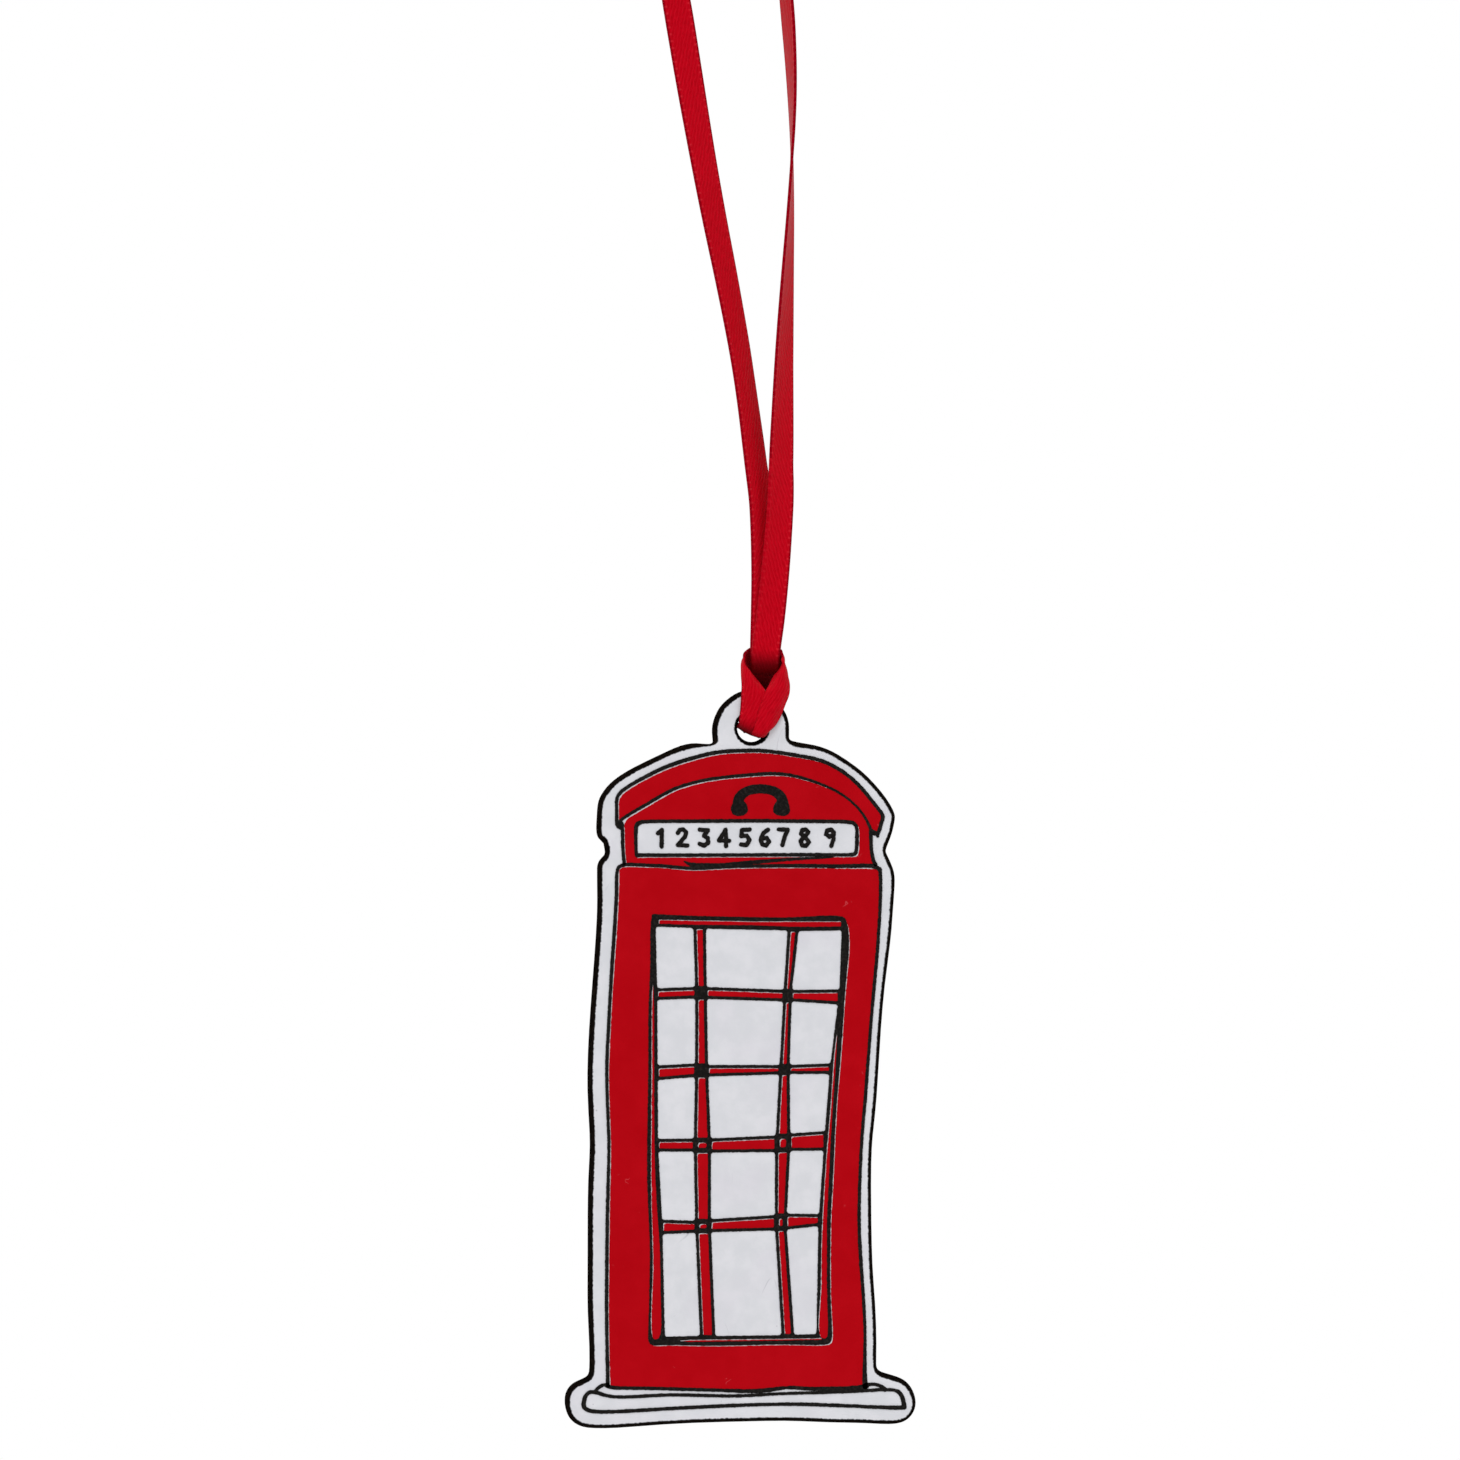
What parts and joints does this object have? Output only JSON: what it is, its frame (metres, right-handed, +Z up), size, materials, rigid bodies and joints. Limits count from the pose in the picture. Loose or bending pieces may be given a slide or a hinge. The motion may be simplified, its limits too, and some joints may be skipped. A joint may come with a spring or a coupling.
{
  "type": "hanging ornament",
  "caption": "Flat printed fibreboard ornament in the shape of a hand-drawn red telephone box, hung from a loop of narrow red satin ribbon tied through its top tab.",
  "frame": {"origin": "on the axis of the peg that the ribbon loop hangs on, at the middle of the ribbon's width", "axes": "+Z up along the hanging ribbon, +X to the right as the printed face is seen, +Y towards the back; the printed face looks along -Y"},
  "size_m": [0.0401, 0.0049, 0.197],
  "materials": {
    "fibreboard": "raw back, laser-charred edges",
    "white_ground": "matt printed ground, very light grey",
    "red_ink": "satin screen-printed ink",
    "black_ink": "satin screen-printed ink",
    "ribbon": "satin weave with woven edges"
  },
  "bodies": {
    "ribbon_loop": {"loop_bight": "ribbon", "loop_knot": "ribbon", "tail_left": "ribbon", "tail_right": "ribbon", "leg_left": "ribbon", "leg_right": "ribbon"},
    "neck": {"neck_back_strand": "ribbon", "neck_front_strand": "ribbon"},
    "hitch": {"hitch_front_band": "ribbon", "hitch_through": "ribbon", "hitch_back_strands": "ribbon", "hitch_collar": "ribbon"},
    "plate": {"board": "fibreboard", "ground_coat": "white_ground", "roof_red": "red_ink", "fascia_red": "red_ink", "body_red": "red_ink", "glazing_bars_red": "red_ink", "roof_lines": "black_ink", "body_lines": "black_ink", "plinth_lines": "black_ink", "sign_frame": "black_ink", "window_lattice": "black_ink", "sign_digits": "black_ink", "handset_emblem": "black_ink"}
  },
  "joints": [
    {"name": "ribbon_twist", "type": "hinge", "parent": "ribbon_loop", "child": "neck", "pos_m": [0.0052, 0, -0.0693], "axis": [0, 0, 1], "range_deg": [-170, 170]},
    {"name": "neck_flex", "type": "hinge", "parent": "neck", "child": "hitch", "pos_m": [0.005, 0, -0.0893], "axis": [1, 0, 0], "range_deg": [-75, 75]},
    {"name": "plate_swing", "type": "hinge", "parent": "hitch", "child": "plate", "pos_m": [0.0035, 0, -0.0995], "axis": [0, 1, 0], "range_deg": [-40, 40]}
  ]
}
